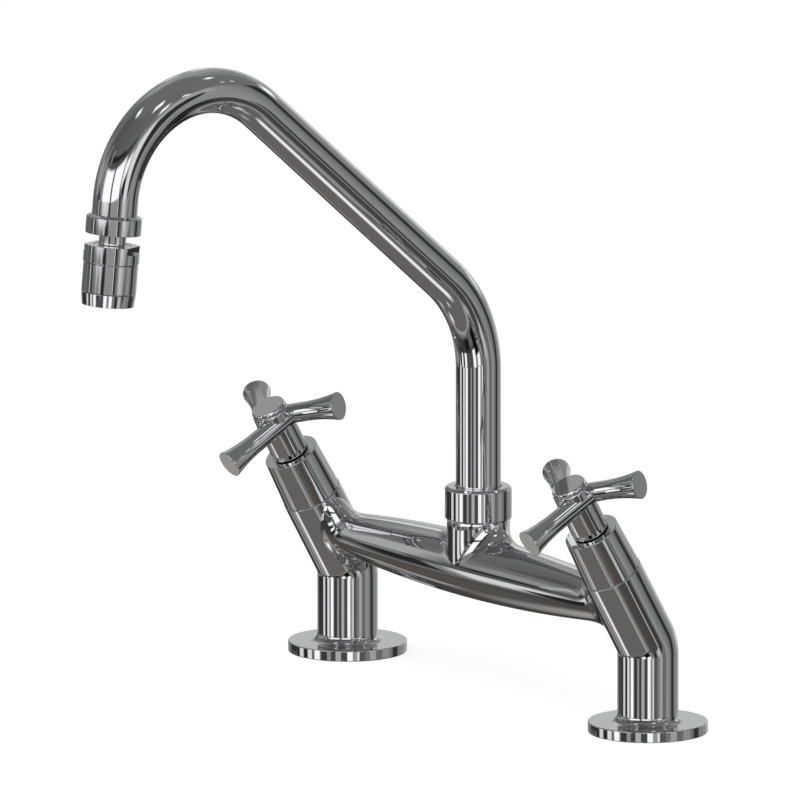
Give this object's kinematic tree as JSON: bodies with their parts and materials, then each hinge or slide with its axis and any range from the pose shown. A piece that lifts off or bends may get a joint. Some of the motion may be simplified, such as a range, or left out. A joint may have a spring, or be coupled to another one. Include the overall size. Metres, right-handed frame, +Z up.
{
  "type": "bridge kitchen faucet",
  "caption": "Two-handle bridge kitchen faucet with leaning valve bodies, cross handles with flared arms, a swinging gooseneck spout and a tilting swivel outlet.",
  "frame": {"origin": "on the deck's top face, midway between the two legs", "axes": "+X from the hot leg to the cold leg, -Y toward the user along the spout, +Z up"},
  "size_m": [0.2558, 0.2294, 0.3321],
  "materials": {
    "chrome": "polished",
    "brass": "satin",
    "steel": "satin",
    "rubber": "matte",
    "ceramic": "satin",
    "plastic": "satin"
  },
  "bodies": {
    "faucet_body": {"bridge": "chrome", "hot_leg": "chrome", "cold_leg": "chrome", "hot_flange": "chrome", "cold_flange": "chrome", "hot_tail": "brass", "cold_tail": "brass", "deck_seals": "rubber", "back_washers": "steel", "back_nuts": "brass", "lock_nut": "chrome", "bearing_ring": "plastic", "hot_cover": "chrome", "cold_cover": "chrome", "hot_cartridge": "brass", "cold_cartridge": "brass", "hot_fixed_disc": "ceramic", "cold_fixed_disc": "ceramic", "seat_seals": "rubber", "cartridge_o_rings": "rubber"},
    "hot_handle_set": {"hot_handle": "chrome", "hot_cap": "chrome", "hot_screw": "steel", "hot_spindle": "brass", "hot_moving_disc": "ceramic", "hot_spindle_o_ring": "rubber", "hot_circlip": "steel"},
    "cold_handle_set": {"cold_handle": "chrome", "cold_cap": "chrome", "cold_screw": "steel", "cold_spindle": "brass", "cold_moving_disc": "ceramic", "cold_spindle_o_ring": "rubber", "cold_circlip": "steel"},
    "spout": {"spout_tube": "chrome", "tail_bush": "brass", "spout_o_rings": "rubber", "end_collar": "chrome"},
    "swivel": {"ball_stem": "chrome", "stem_o_ring": "rubber", "stem_circlip": "steel"},
    "outlet_head": {"socket_ring": "chrome", "ball_seal": "rubber", "head_barrel": "chrome", "flow_washer": "rubber", "inlet_screen": "steel", "flow_insert": "plastic", "mouth_ring": "chrome"}
  },
  "joints": [
    {"name": "hot_turn", "type": "hinge", "parent": "faucet_body", "child": "hot_handle_set", "pos_m": [-0.1, -0.02895, 0.08564], "axis": [0, -0.5, 0.866], "range_deg": [0, 90]},
    {"name": "cold_turn", "type": "hinge", "parent": "faucet_body", "child": "cold_handle_set", "pos_m": [0.1, -0.02895, 0.08564], "axis": [0, 0.5, -0.866], "range_deg": [0, 90]},
    {"name": "spout_swivel", "type": "hinge", "parent": "faucet_body", "child": "spout", "pos_m": [0, -0.0094, 0.0784], "axis": [0, 0, 1], "continuous": true},
    {"name": "outlet_spin", "type": "hinge", "parent": "spout", "child": "swivel", "pos_m": [0, -0.19287, 0.20197], "axis": [0, 0.0958, 0.9954], "continuous": true},
    {"name": "outlet_tilt", "type": "hinge", "parent": "swivel", "child": "outlet_head", "pos_m": [0, -0.19287, 0.20197], "axis": [1, 0, 0], "range_deg": [-15, 15]}
  ]
}
